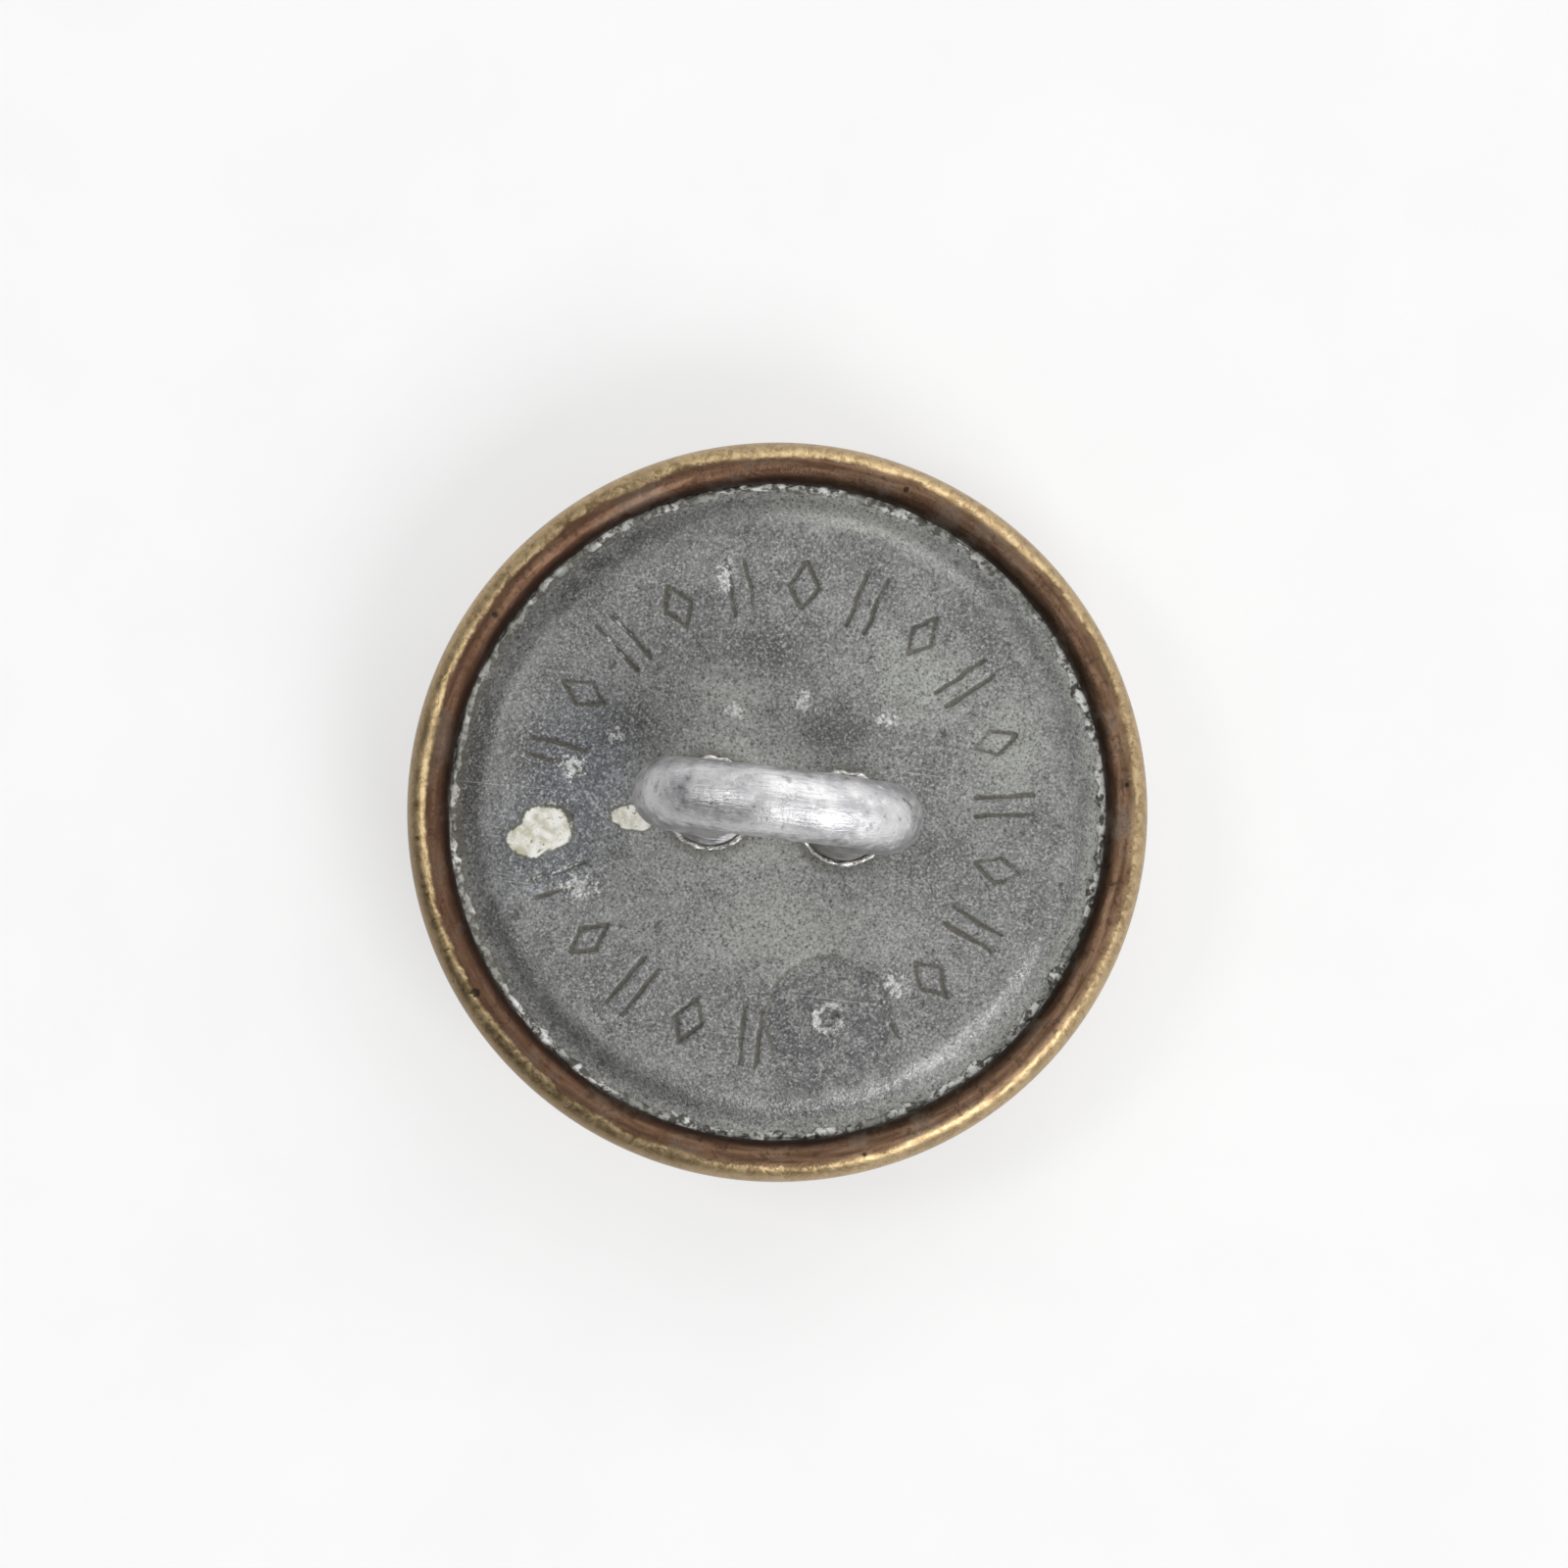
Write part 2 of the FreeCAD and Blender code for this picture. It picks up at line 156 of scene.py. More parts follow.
def grain(finish, size, seed, detail=4.0, roughness=0.6, distortion=0.0):
    """Noise from 0 to 1 with blotches of one size, in millimetres."""
    place = node(finish, "ShaderNodeTexCoord").outputs["Object"]
    inputs = {
        "Vector": place,
        "W": seed,
        "Scale": 1 / (size * MM),
        "Detail": detail,
        "Roughness": roughness,
        "Distortion": distortion,
    }
    return node(finish, "ShaderNodeTexNoise", inputs, noise_dimensions="4D").outputs["Fac"]


def between(finish, source, low, high, to_low=0.0, to_high=1.0):
    """Ease a number from one range to another, clamped at both ends."""
    inputs = {"Value": source, "From Min": low, "From Max": high, "To Min": to_low, "To Max": to_high}
    return node(finish, "ShaderNodeMapRange", inputs, interpolation_type="SMOOTHSTEP").outputs["Result"]


def calculate(finish, operation, first, second=0.0):
    """One step of arithmetic on numbers or other nodes' outputs."""
    return node(finish, "ShaderNodeMath", {0: first, 1: second}, operation=operation).outputs[0]


def tint(finish, amount, under, over):
    """Lay one colour over another by an amount from 0 to 1."""
    inputs = {"Factor": amount, "A": under, "B": over}
    mixer = finish.node_tree.nodes.new("ShaderNodeMix")
    mixer.data_type = "RGBA"
    for socket in mixer.inputs:
        if socket.enabled and socket.name in inputs:
            given = inputs[socket.name]
            if isinstance(given, bpy.types.NodeSocket):
                finish.node_tree.links.new(given, socket)
            else:
                socket.default_value = given if isinstance(given, float) else (*given, 1.0)
    return next(socket for socket in mixer.outputs if socket.enabled)


def connect(finish, source, shader, socket):
    """Let a worked-out colour or number drive one of the shader's inputs."""
    finish.node_tree.links.new(source, shader.inputs[socket])


def raise_surface(finish, shader, height, depth):
    """Bump of a real depth in millimetres."""
    bump = node(finish, "ShaderNodeBump", {"Height": height, "Distance": depth * MM, "Strength": 1.0})
    connect(finish, bump.outputs["Normal"], shader, "Normal")


streak_width = 0.16 * MM
streak_turns = 7.0
# Small dark nicks on the roll: millimetres from the middle, degrees round, size in millimetres.
nick_places = ((10.4, 11, 0.12), (10.52, -69, 0.10), (10.2, 152, 0.14), (10.45, 218, 0.16), (10.3, 75, 0.10))


def tarnished_brass():
    """Rubbed golden along the top of the roll, brown where the patina was never touched, with painted shade
    to the left, to the lower left and deep by the plate.
    """
    finish, shader = new_finish("tarnished_brass")
    place = node(finish, "ShaderNodeTexCoord").outputs["Object"]
    parts = node(finish, "ShaderNodeSeparateXYZ", {0: place})
    flat = {"X": parts.outputs["X"], "Y": parts.outputs["Y"]}
    flat = node(finish, "ShaderNodeCombineXYZ", flat).outputs[0]
    reach = node(finish, "ShaderNodeVectorMath", {0: flat}, operation="LENGTH").outputs["Value"]
    around = node(finish, "ShaderNodeVectorMath", {0: flat}, operation="NORMALIZE").outputs["Vector"]
    around = node(finish, "ShaderNodeSeparateXYZ", {0: around})
    along = {
        "X": calculate(finish, "MULTIPLY", around.outputs["X"], streak_turns),
        "Y": calculate(finish, "MULTIPLY", around.outputs["Y"], streak_turns),
        "Z": calculate(finish, "MULTIPLY", reach, 1 / streak_width),
    }
    along = node(finish, "ShaderNodeCombineXYZ", along).outputs[0]
    streaks = {"Vector": along, "Scale": 1.0, "Detail": 5.0, "Distortion": 0.3}
    streaks = node(finish, "ShaderNodeTexNoise", streaks).outputs["Fac"]
    blotches = grain(finish, 1.6, 1.0, detail=6.0, roughness=0.62)
    crackle = grain(finish, 0.34, 4.0, detail=6.0, roughness=0.7, distortion=0.8)
    specks = grain(finish, 0.10, 2.0, detail=4.0, roughness=0.65)
    uneven = calculate(finish, "MULTIPLY", calculate(finish, "SUBTRACT", blotches, 0.5), 0.55 * MM)
    ragged_edge = calculate(finish, "MULTIPLY", calculate(finish, "SUBTRACT", crackle, 0.5), 0.28 * MM)
    worn_reach = calculate(finish, "ADD", calculate(finish, "ADD", reach, uneven), ragged_edge)
    left_more = calculate(finish, "MULTIPLY", around.outputs["X"], -0.1 * MM)
    worn_reach = calculate(finish, "ADD", worn_reach, left_more)
    rubbed = between(finish, worn_reach, crest_radius + 0.12 * MM, crest_radius + 0.26 * MM)
    above = between(finish, parts.outputs["Z"], roll_level - 1.1 * MM, roll_level)
    front = between(finish, parts.outputs["Z"], 0.5 * MM, 0.05 * MM)
    rubbed = calculate(finish, "MULTIPLY", rubbed, between(finish, above, 0.0, 1.0, 0.5, 1.0))
    rubbed = calculate(finish, "MAXIMUM", rubbed, front)
    golden = tint(finish, between(finish, crackle, 0.38, 0.6), (0.36, 0.25, 0.125), (0.68, 0.515, 0.29))
    golden = tint(finish, between(finish, blotches, 0.53, 0.7), golden, (0.27, 0.195, 0.11))
    outside = between(finish, reach, crest_radius + 0.25 * MM, crest_radius + 0.5 * MM, 0.0, 0.55)
    golden = tint(finish, outside, golden, (0.34, 0.25, 0.155))
    # Painted shade: the outer golden band is made darker towards the lower left.
    lower_left = calculate(finish, "MULTIPLY", around.outputs["Y"], -0.6)
    leftwards = calculate(finish, "MULTIPLY", around.outputs["X"], -0.8)
    lower_left = calculate(finish, "ADD", lower_left, leftwards)
    painted_shade_lower_left = calculate(finish, "MULTIPLY", between(finish, lower_left, 0.3, 1.0), outside)
    golden = tint(finish, painted_shade_lower_left, golden, (0.12, 0.08, 0.045))
    brown = tint(finish, between(finish, streaks, 0.34, 0.7), (0.15, 0.085, 0.05), (0.29, 0.18, 0.115))
    brown = tint(finish, between(finish, crackle, 0.5, 0.64, 0.0, 0.6), brown, (0.05, 0.03, 0.021))
    # Painted shade: the brown is darkened nearly to black deep in the roll, next to the plate.
    painted_contact_shade = calculate(finish, "ADD", reach, calculate(finish, "MULTIPLY", uneven, 0.5))
    painted_contact_shade = between(finish, painted_contact_shade, crest_radius - 0.12 * MM, crest_radius - 0.6 * MM, 0.0, 0.85)
    brown = tint(finish, painted_contact_shade, brown, (0.03, 0.018, 0.013))
    brown = tint(finish, between(finish, blotches, 0.52, 0.62, 0.0, 0.45), brown, (0.24, 0.20, 0.16))
    # Painted shade: the brown is made darker and redder towards the left.
    painted_shade_on_left = between(finish, around.outputs["X"], 0.7, -0.9, 0.0, 0.5)
    brown = tint(finish, painted_shade_on_left, brown, (0.075, 0.036, 0.024))
    inside = between(finish, parts.outputs["Z"], roll_level - 0.7 * MM, roll_level - 0.4 * MM)
    inwards = between(finish, reach, crest_radius + 0.3 * MM, crest_radius)
    inside = calculate(finish, "MULTIPLY", inside, inwards)
    dome = tint(finish, between(finish, blotches, 0.4, 0.6), (0.15, 0.10, 0.055), (0.36, 0.26, 0.145))
    dome = tint(finish, between(finish, crackle, 0.5, 0.66, 0.0, 0.7), dome, (0.10, 0.072, 0.045))
    brown = tint(finish, inside, dome, brown)
    colour = tint(finish, rubbed, brown, golden)
    colour = tint(finish, between(finish, specks, 0.6, 0.68, 0.0, 0.8), colour, (0.09, 0.058, 0.036))
    for nick_reach, degrees, size in nick_places:
        turn = math.radians(degrees)
        spot = Vector((math.cos(turn), math.sin(turn), 0)) * nick_reach * MM
        gap = node(finish, "ShaderNodeVectorMath", {0: flat, 1: spot}, operation="DISTANCE")
        gap = calculate(finish, "ADD", gap.outputs["Value"], ragged_edge)
        nick = between(finish, gap, size * MM, size * 0.5 * MM, 0.0, 0.9)
        colour = tint(finish, nick, colour, (0.03, 0.022, 0.018))
    connect(finish, colour, shader, "Base Color")
    dull = calculate(finish, "MULTIPLY", rubbed, -0.11)
    rough = calculate(finish, "ADD", between(finish, crackle, 0.3, 0.75, 0.36, 0.54), dull)
    connect(finish, rough, shader, "Roughness")
    shader.inputs["Metallic"].default_value = 1.0
    height = calculate(finish, "MULTIPLY", specks, 0.45)
    height = calculate(finish, "ADD", height, calculate(finish, "MULTIPLY", crackle, 0.7))
    grooves = calculate(finish, "MULTIPLY", streaks, calculate(finish, "MULTIPLY", inside, 0.25))
    height = calculate(finish, "ADD", height, grooves)
    raise_surface(finish, shader, height, 0.026)
    return finish


dome_start = border_outer + border_flank
dome_centre = border_height + math.sqrt(dome_radius**2 - dome_start**2)
edge_reach = button_radius - edge_radius
edge_angle = math.asin(edge_reach / (dome_radius - edge_radius))
border_angle = math.asin(dome_start / dome_radius)
edge_level = dome_centre - (dome_radius - edge_radius) * math.cos(edge_angle)
set_pen((0, 0, border_height))
draw_to((border_inner - border_flank, 0, border_height), 10)
draw_to((border_inner, 0, 0), 2)
draw_to((border_outer, 0, 0), 2)
draw_to((dome_start, 0, border_height), 2)
bend_round((0, 0, dome_centre), math.degrees(edge_angle - border_angle), 16)
bend_round((edge_reach, 0, edge_level), 90 - math.degrees(edge_angle), 6)
draw_to((button_radius, 0, roll_level), 3)
bend_round((crest_radius, 0, roll_level), 180, 30)
draw_to((rolled_edge_radius, 0, flange_top), 2)
draw_to((rolled_edge_radius + brass_sheet, 0, flange_top), 2)
draw_to((rolled_edge_radius + brass_sheet, 0, roll_level))
bend_round((crest_radius, 0, roll_level), -180, 8)
draw_to((button_radius - brass_sheet, 0, edge_level))
bend_round((edge_reach, 0, edge_level), math.degrees(edge_angle) - 90, 4)
inner_dome = dome_radius - brass_sheet
inner_field = border_height + brass_sheet
inner_angle = math.acos((dome_centre - inner_field) / inner_dome)
bend_round((0, 0, dome_centre), math.degrees(inner_angle - edge_angle), 8)
draw_to((0, 0, inner_field), 2)
spin_section(shell_turn_steps)
finish_piece("front_shell_brass", tarnished_brass(), "front_shell")

# ---------------------------------------------------------------------------------------------
# Card filler: a pressed card that backs the thin shell and takes up the room under the rivets.
# It is sealed in, so its CAD shape is enough and only its finish is made here.
# ---------------------------------------------------------------------------------------------
def pressed_card():
    """Brown fibrous card."""
    finish, shader = new_finish("pressed_card")
    fibres = grain(finish, 0.25, 11.0, detail=8.0, roughness=0.75, distortion=1.5)
    colour = tint(finish, between(finish, fibres, 0.35, 0.65), (0.20, 0.15, 0.10), (0.42, 0.34, 0.24))
    connect(finish, colour, shader, "Base Color")
    connect(finish, between(finish, fibres, 0.2, 0.8, 0.8, 0.95), shader, "Roughness")
    raise_surface(finish, shader, fibres, 0.05)
    return finish


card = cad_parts["card_filler"]
card.data.materials.clear()
card.data.materials.append(pressed_card())

# ---------------------------------------------------------------------------------------------
# Back plate: grey zinc sheet with a raised middle, its flange caught under the rolled edge. The
# ring of lozenges and paired strokes and the round punch mark are struck into it.
# ---------------------------------------------------------------------------------------------
plate_thickness = 0.45 * MM
plate_rise = 0.45 * MM
slope_width = 0.8 * MM
flange_show = 0.36 * MM
ridge_bend = 1.2 * MM
flange_bend = 0.3 * MM
collar_height = 0.13 * MM
hole_radius = 0.83 * MM
foot_offset = 2.0 * MM
facing_up = 0.3
plate_turn_steps = 600
plate_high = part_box("back_plate")[1]
flange_radius = plate_high.x
plate_top = plate_high.z - collar_height
plate_bottom = plate_top - plate_thickness
foot_radius = rolled_edge_radius - flange_show
table_radius = foot_radius - slope_width
slope_angle = math.atan2(plate_rise, slope_width)
mark_height = 1.7 * MM
mark_radius = table_radius - 1.0 * MM - mark_height / 2
lozenge_width = 1.0 * MM
stroke_width = 0.16 * MM
stroke_pitch = 0.56 * MM
mark_depth = 0.1 * MM
mark_lip = 0.02 * MM
mark_wobble = 0.08 * MM
mark_count = 11
punch_radius = 1.85 * MM
punch_depth = 0.05 * MM
punch_groove = 0.04 * MM
dimple_radius = 0.40 * MM
dimple_depth = 0.2 * MM
dimple_lip_height = 0.07 * MM
wave_height = 0.035 * MM
ripple_height = 0.009 * MM
chalk_height = 0.05 * MM
punch_angle = math.radians(290.6)
punch_inset = 0.4 * MM
punch_place = Vector((math.cos(punch_angle), math.sin(punch_angle))) * (mark_radius - punch_inset)
foot_places = (Vector((-foot_offset, 0)), Vector((foot_offset, 0)))


def ease(value, low, high):
    """0 below low, 1 above high, smooth between. Low may be the larger one."""
    share = min(max((value - low) / (high - low), 0.0), 1.0)
    return share * share * (3 - 2 * share)


def wander(x, y, size, seed):
    """Smooth unevenness from about -1 to 1, with a size in millimetres."""
    return noise.noise(Vector((x / (size * MM), y / (size * MM), seed)))


def fold(angle, start):
    """Angle from the nearest of the evenly spaced marks that begin at start."""
    pitch = math.tau / mark_count
    return (angle - start + pitch / 2) % pitch - pitch / 2


def stroke_cover(x, y):
    """How deep a struck line is at a point, from 0 to 1, and how high the lip beside it is."""
    reach = math.hypot(x, y)
    if abs(reach - mark_radius) > mark_height:
        return 0.0, 0.0
    if math.hypot(x - punch_place.x, y - punch_place.y) < punch_radius:
        return 0.0, 0.0
    angle = math.atan2(y, x)
    turn = fold(angle, math.pi / 2)
    across = abs(reach * math.sin(turn))
    along = abs(reach * math.cos(turn) - mark_radius)
    half_width = lozenge_width / 2 - stroke_width * 0.55
    half_height = mark_height / 2 - stroke_width
    corner = Vector((half_width, 0))
    side = Vector((-half_width, half_height))
    point = Vector((across, along))
    share = min(max((point - corner).dot(side) / side.length_squared, 0), 1)
    gap = (point - corner - side * share).length
    turn = fold(angle, math.pi * 1.5)
    across = abs(abs(reach * math.sin(turn)) - stroke_pitch / 2)
    along = max(abs(reach * math.cos(turn) - mark_radius) - mark_height / 2, 0)
    gap = min(gap, math.hypot(across, along))
    lip = ease(abs(gap - stroke_width * 0.85), stroke_width * 0.4, 0.0)
    return ease(gap, stroke_width * 0.62, stroke_width * 0.2), lip


def blot(x, y, places):
    """How far inside any of the oval places a point is: 1 in the middle, 0 at the edge."""
    cover = 0.0
    for centre_x, centre_y, half_x, half_y in places:
        gap = math.hypot((x / MM - centre_x) / half_x, (y / MM - centre_y) / half_y)
        cover = max(cover, 1 - gap)
    return cover


# Where stains, bloom, wear, painted shade and painted light lie: middle across and up, half width and half
# height, in millimetres.
chalk_places = ((-6.75, -1.3, 1.2, 1.05), (-7.25, -1.75, 1.0, 0.8), (-4.2, -0.7, 1.1, 0.6))
haze_places = ((-5.9, 0.3, 2.9, 4.2), (-6.6, -1.6, 2.8, 3.2))
stain_and_shade_places = (
    (-4.7, 2.0, 1.7, 1.3),
    (1.4, 2.6, 1.8, 1.0),
    (-1.0, 4.7, 2.4, 1.0),
    (-7.3, 0.9, 1.4, 1.8),
    # painted shade along the left edge of the plate
    (-9.4, 0.0, 1.3, 4.6),
)
pale_and_lit_places = (
    (0.6, -3.4, 5.4, 3.2),
    (6.6, 2.6, 2.2, 3.4),
    (-1.8, 3.1, 2.6, 1.7),
    (3.6, 4.3, 3.6, 2.4),
    # painted light along the top flange
    (2.0, 9.2, 7.0, 1.6),
    (-0.8, 0.2, 6.2, 5.4),
)
crumb_places = (
    (0.4, 3.36, 0.8, 0.8),
    (-1.54, 2.83, 0.7, 0.6),
    (2.92, 3.07, 0.8, 0.6),
    (-2.35, 6.7, 0.5, 1.3),
    (4.05, -4.73, 0.9, 0.8),
    (-5.06, 1.68, 0.5, 0.5),
    (-5.6, -2.92, 1.2, 0.9),
    (-6.2, 0.6, 0.9, 0.8),
)


def weather_plate(piece):
    """Sink the struck marks, dish and dent the sheet, and note where dirt and bloom have gathered and where
    shade and light are painted.
    """
    mesh = piece.data
    names = ("dirt_and_shade", "chalk", "haze", "stain_and_shade", "pale_and_lit", "crumbs", "punched", "bruise", "ridge")
    amounts = {name: [0.0] * len(mesh.vertices) for name in names}
    normals = [vertex.normal.z for vertex in mesh.vertices]
    for index, vertex in enumerate(mesh.vertices):
        x, y = vertex.co.x, vertex.co.y
        if normals[index] < facing_up:
            continue
        reach = math.hypot(x, y)
        shift_x = x + wander(x, y, 0.7, 1.0) * mark_wobble
        shift_y = y + wander(x, y, 0.7, 2.0) * mark_wobble
        struck, lip = stroke_cover(shift_x, shift_y)
        force = 0.85 + 0.5 * wander(x, y, 2.4, 3.0) + 0.35 * wander(x, y, 0.8, 9.0)
        punch_gap = math.hypot(x - punch_place.x, y - punch_place.y)
        punched = ease(punch_gap, punch_radius + 0.03 * MM, punch_radius - 0.05 * MM)
        groove = ease(abs(punch_gap - punch_radius), 0.16 * MM, 0.02 * MM)
        groove *= 0.55 + 0.9 * wander(x, y, 1.3, 6.0)
        dimple = ease(punch_gap, dimple_radius, 0.14 * MM)
        torn = 0.6 + 1.4 * wander(x, y, 0.28, 7.0)
        dimple_lip = ease(abs(punch_gap - 0.44 * MM), 0.19 * MM, 0.0) * torn
        foot_gap = min(math.hypot(x - foot.x, y - foot.y) for foot in foot_places)
        chalk = blot(x, y, chalk_places)
        height = (mark_lip * lip - mark_depth * struck) * force
        height -= punch_depth * punched + punch_groove * groove
        height += dimple_lip_height * dimple_lip - dimple_depth * dimple
        height += wave_height * wander(x, y, 3.2, 4.0) + ripple_height * wander(x, y, 0.9, 5.0)
        height += chalk_height * ease(chalk, 0.32, 0.5) * (1 + wander(x, y, 0.3, 8.0))
        vertex.co.z += height * ease(reach, rolled_edge_radius, foot_radius)
        # A dark line along the joint with the rim, made much darker on the left as painted shade.
        joint = ease(reach, foot_radius - 0.35 * MM, foot_radius + 0.1 * MM)
        joint *= 0.34 - 0.30 * x / max(reach, MM)
        # Painted light: the flange is lightened, most on the right side and least on the left.
        flange_painted_light = ease(reach, table_radius + 0.3 * MM, foot_radius)
        flange_painted_light *= 0.45 + 0.5 * (0.9 * x - 0.35 * y) / max(reach, MM)
        grubby = 1.0 + 0.7 * wander(x, y, 1.7, 12.0) + 0.4 * wander(x, y, 0.5, 13.0)
        powder = struck * ease(wander(x, y, 1.5, 14.0), 0.28, 0.5)
        around_foot = ease(foot_gap, 2.3 * MM, 1.2 * MM) * 0.65
        amounts["dirt_and_shade"][index] = max(struck * grubby, 0.7 * groove, joint, around_foot)
        amounts["punched"][index] = punched
        amounts["bruise"][index] = ease(abs(punch_gap - 0.36 * MM), 0.26 * MM, 0.04 * MM) * torn
        amounts["ridge"][index] = ease(abs(reach - table_radius - 0.1 * MM), 0.75 * MM, 0.1 * MM)
        amounts["crumbs"][index] = max(blot(x, y, crumb_places), 0.8 * powder)
        amounts["chalk"][index] = chalk
        amounts["haze"][index] = blot(x, y, haze_places)
        amounts["stain_and_shade"][index] = blot(x, y, stain_and_shade_places)
        amounts["pale_and_lit"][index] = max(blot(x, y, pale_and_lit_places), flange_painted_light)
    for name, values in amounts.items():
        mesh.attributes.new(name, "FLOAT", "POINT").data.foreach_set("value", values)


def noted(finish, name):
    """Amount that weather_plate noted on the piece's own mesh."""
    return node(finish, "ShaderNodeAttribute", attribute_name=name).outputs["Fac"]


def ragged(finish, amount, rough, low, high, reach=0.5):
    """Turn a soft amount into a patch with a broken edge."""
    broken = calculate(finish, "MULTIPLY", calculate(finish, "SUBTRACT", rough, 0.5), reach)
    return between(finish, calculate(finish, "ADD", amount, broken), low, high)


def scratches(finish, turn):
    """Sparse thin lines that run one way."""
    place = node(finish, "ShaderNodeTexCoord").outputs["Object"]
    length = 5 * MM
    width = 0.07 * MM
    mapping = {"Vector": place, "Rotation": (0, 0, turn), "Scale": (1 / length, 1 / width, 1 / length)}
    stretched = node(finish, "ShaderNodeMapping", mapping).outputs[0]
    lines = node(finish, "ShaderNodeTexNoise", {"Vector": stretched, "Scale": 1.0, "Detail": 1.0})
    return between(finish, lines.outputs["Fac"], 0.73, 0.78, 0.0, 0.6)


def oxidised_zinc():
    """Dull mottled grey with a fine grain, olive dirt in the marks, and white bloom, with painted shade on
    the left and painted light on the top and right of the flange.
    """
    finish, shader = new_finish("oxidised_zinc")
    clouds = grain(finish, 2.4, 21.0, detail=6.0, roughness=0.62)
    mottle = grain(finish, 0.5, 22.0, detail=7.0, roughness=0.72, distortion=0.4)
    sand = grain(finish, 0.085, 23.0, detail=3.0, roughness=0.8)
    dust = grain(finish, 0.06, 24.0, detail=2.0)
    ridge = noted(finish, "ridge")
    colour = tint(finish, between(finish, clouds, 0.36, 0.64), (0.16, 0.162, 0.16), (0.245, 0.248, 0.243))
    colour = tint(finish, between(finish, mottle, 0.5, 0.7, 0.0, 0.85), colour, (0.345, 0.35, 0.335))
    colour = tint(finish, between(finish, mottle, 0.47, 0.3, 0.0, 0.8), colour, (0.065, 0.065, 0.06))
    # Pale patches of oxide, and painted light on the top and right of the flange.
    pale_and_lit = ragged(finish, noted(finish, "pale_and_lit"), mottle, 0.1, 0.95, 1.1)
    colour = tint(finish, calculate(finish, "MULTIPLY", pale_and_lit, 0.68), colour, (0.375, 0.385, 0.345))
    # Real stains, and painted shade along the left edge.
    stain_and_shade = ragged(finish, noted(finish, "stain_and_shade"), mottle, 0.1, 0.8, 1.0)
    colour = tint(finish, calculate(finish, "MULTIPLY", stain_and_shade, 0.62), colour, (0.075, 0.073, 0.066))
    haze = ragged(finish, noted(finish, "haze"), mottle, 0.15, 0.8, 1.0)
    hazy = tint(finish, between(finish, mottle, 0.5, 0.68), (0.11, 0.118, 0.136), (0.30, 0.315, 0.35))
    colour = tint(finish, calculate(finish, "MULTIPLY", haze, 0.75), colour, hazy)
    punched = noted(finish, "punched")
    punched = calculate(finish, "MULTIPLY", punched, between(finish, mottle, 0.66, 0.4, 0.1, 0.6))
    colour = tint(finish, punched, colour, (0.07, 0.072, 0.076))
    calm = calculate(finish, "MULTIPLY", ridge, -0.25)
    calm = calculate(finish, "ADD", calm, 1.0)
    light_sand = calculate(finish, "MULTIPLY", between(finish, sand, 0.5, 0.66, 0.0, 0.8), calm)
    colour = tint(finish, light_sand, colour, (0.50, 0.505, 0.49))
    dark_sand = calculate(finish, "MULTIPLY", between(finish, sand, 0.5, 0.33, 0.0, 0.9), calm)
    colour = tint(finish, dark_sand, colour, (0.045, 0.045, 0.042))
    for turn in (0.75, 2.3):
        line = scratches(finish, turn)
        colour = tint(finish, line, colour, (0.42, 0.425, 0.42))
    # Olive dirt in the marks, darkening round the feet and along the joint, the joint's left side darkened
    # as painted shade.
    dirt_and_shade = ragged(finish, noted(finish, "dirt_and_shade"), mottle, 0.25, 0.75, 0.8)
    colour = tint(finish, calculate(finish, "MULTIPLY", dirt_and_shade, 0.75), colour, (0.07, 0.061, 0.04))
    specks = between(finish, dust, 0.68, 0.76)
    specks = calculate(finish, "MULTIPLY", specks, between(finish, clouds, 0.4, 0.7))
    colour = tint(finish, specks, colour, (0.5, 0.51, 0.49))
    flecks = grain(finish, 0.17, 25.0, detail=4.0, roughness=0.7)
    spread = calculate(finish, "MULTIPLY", calculate(finish, "SUBTRACT", flecks, 0.5), 2.6)
    crumbs = between(finish, calculate(finish, "ADD", noted(finish, "crumbs"), spread), 0.62, 0.85)
    bruise = noted(finish, "bruise")
    bruise = calculate(finish, "ADD", bruise, between(finish, flecks, 0.3, 0.7, -0.45, 0.45))
    crumbs = calculate(finish, "MAXIMUM", crumbs, between(finish, bruise, 0.42, 0.75))
    crumbs = calculate(finish, "MULTIPLY", crumbs, 0.85)
    crumbly = tint(finish, between(finish, sand, 0.4, 0.6), (0.40, 0.40, 0.38), (0.78, 0.79, 0.77))
    colour = tint(finish, crumbs, colour, crumbly)
    scorch = ragged(finish, noted(finish, "chalk"), mottle, 0.24, 0.34, 0.5)
    colour = tint(finish, calculate(finish, "MULTIPLY", scorch, 0.6), colour, (0.12, 0.115, 0.085))
    chalk = ragged(finish, noted(finish, "chalk"), mottle, 0.36, 0.42, 0.5)
    chalky = tint(finish, between(finish, mottle, 0.35, 0.6), (0.50, 0.475, 0.35), (0.80, 0.795, 0.755))
    chalky = tint(finish, between(finish, flecks, 0.42, 0.33), chalky, (0.30, 0.275, 0.18))
    colour = tint(finish, chalk, colour, chalky)
    connect(finish, colour, shader, "Base Color")
    cover = calculate(finish, "MAXIMUM", chalk, calculate(finish, "MULTIPLY", dirt_and_shade, 0.8))
    cover = calculate(finish, "MAXIMUM", cover, crumbs)
    bare = calculate(finish, "ADD", calculate(finish, "MULTIPLY", ridge, 0.35), 0.4)
    metal = calculate(finish, "MULTIPLY", between(finish, cover, 0.0, 1.0, 1.0, 0.0), bare)
    connect(finish, metal, shader, "Metallic")
    rough = between(finish, mottle, 0.3, 0.7, 0.46, 0.62)
    rough = calculate(finish, "ADD", rough, calculate(finish, "MULTIPLY", ridge, -0.22))
    rough = calculate(finish, "MAXIMUM", rough, calculate(finish, "MULTIPLY", cover, 0.9))
    connect(finish, rough, shader, "Roughness")
    height = calculate(finish, "MULTIPLY", sand, 0.6)
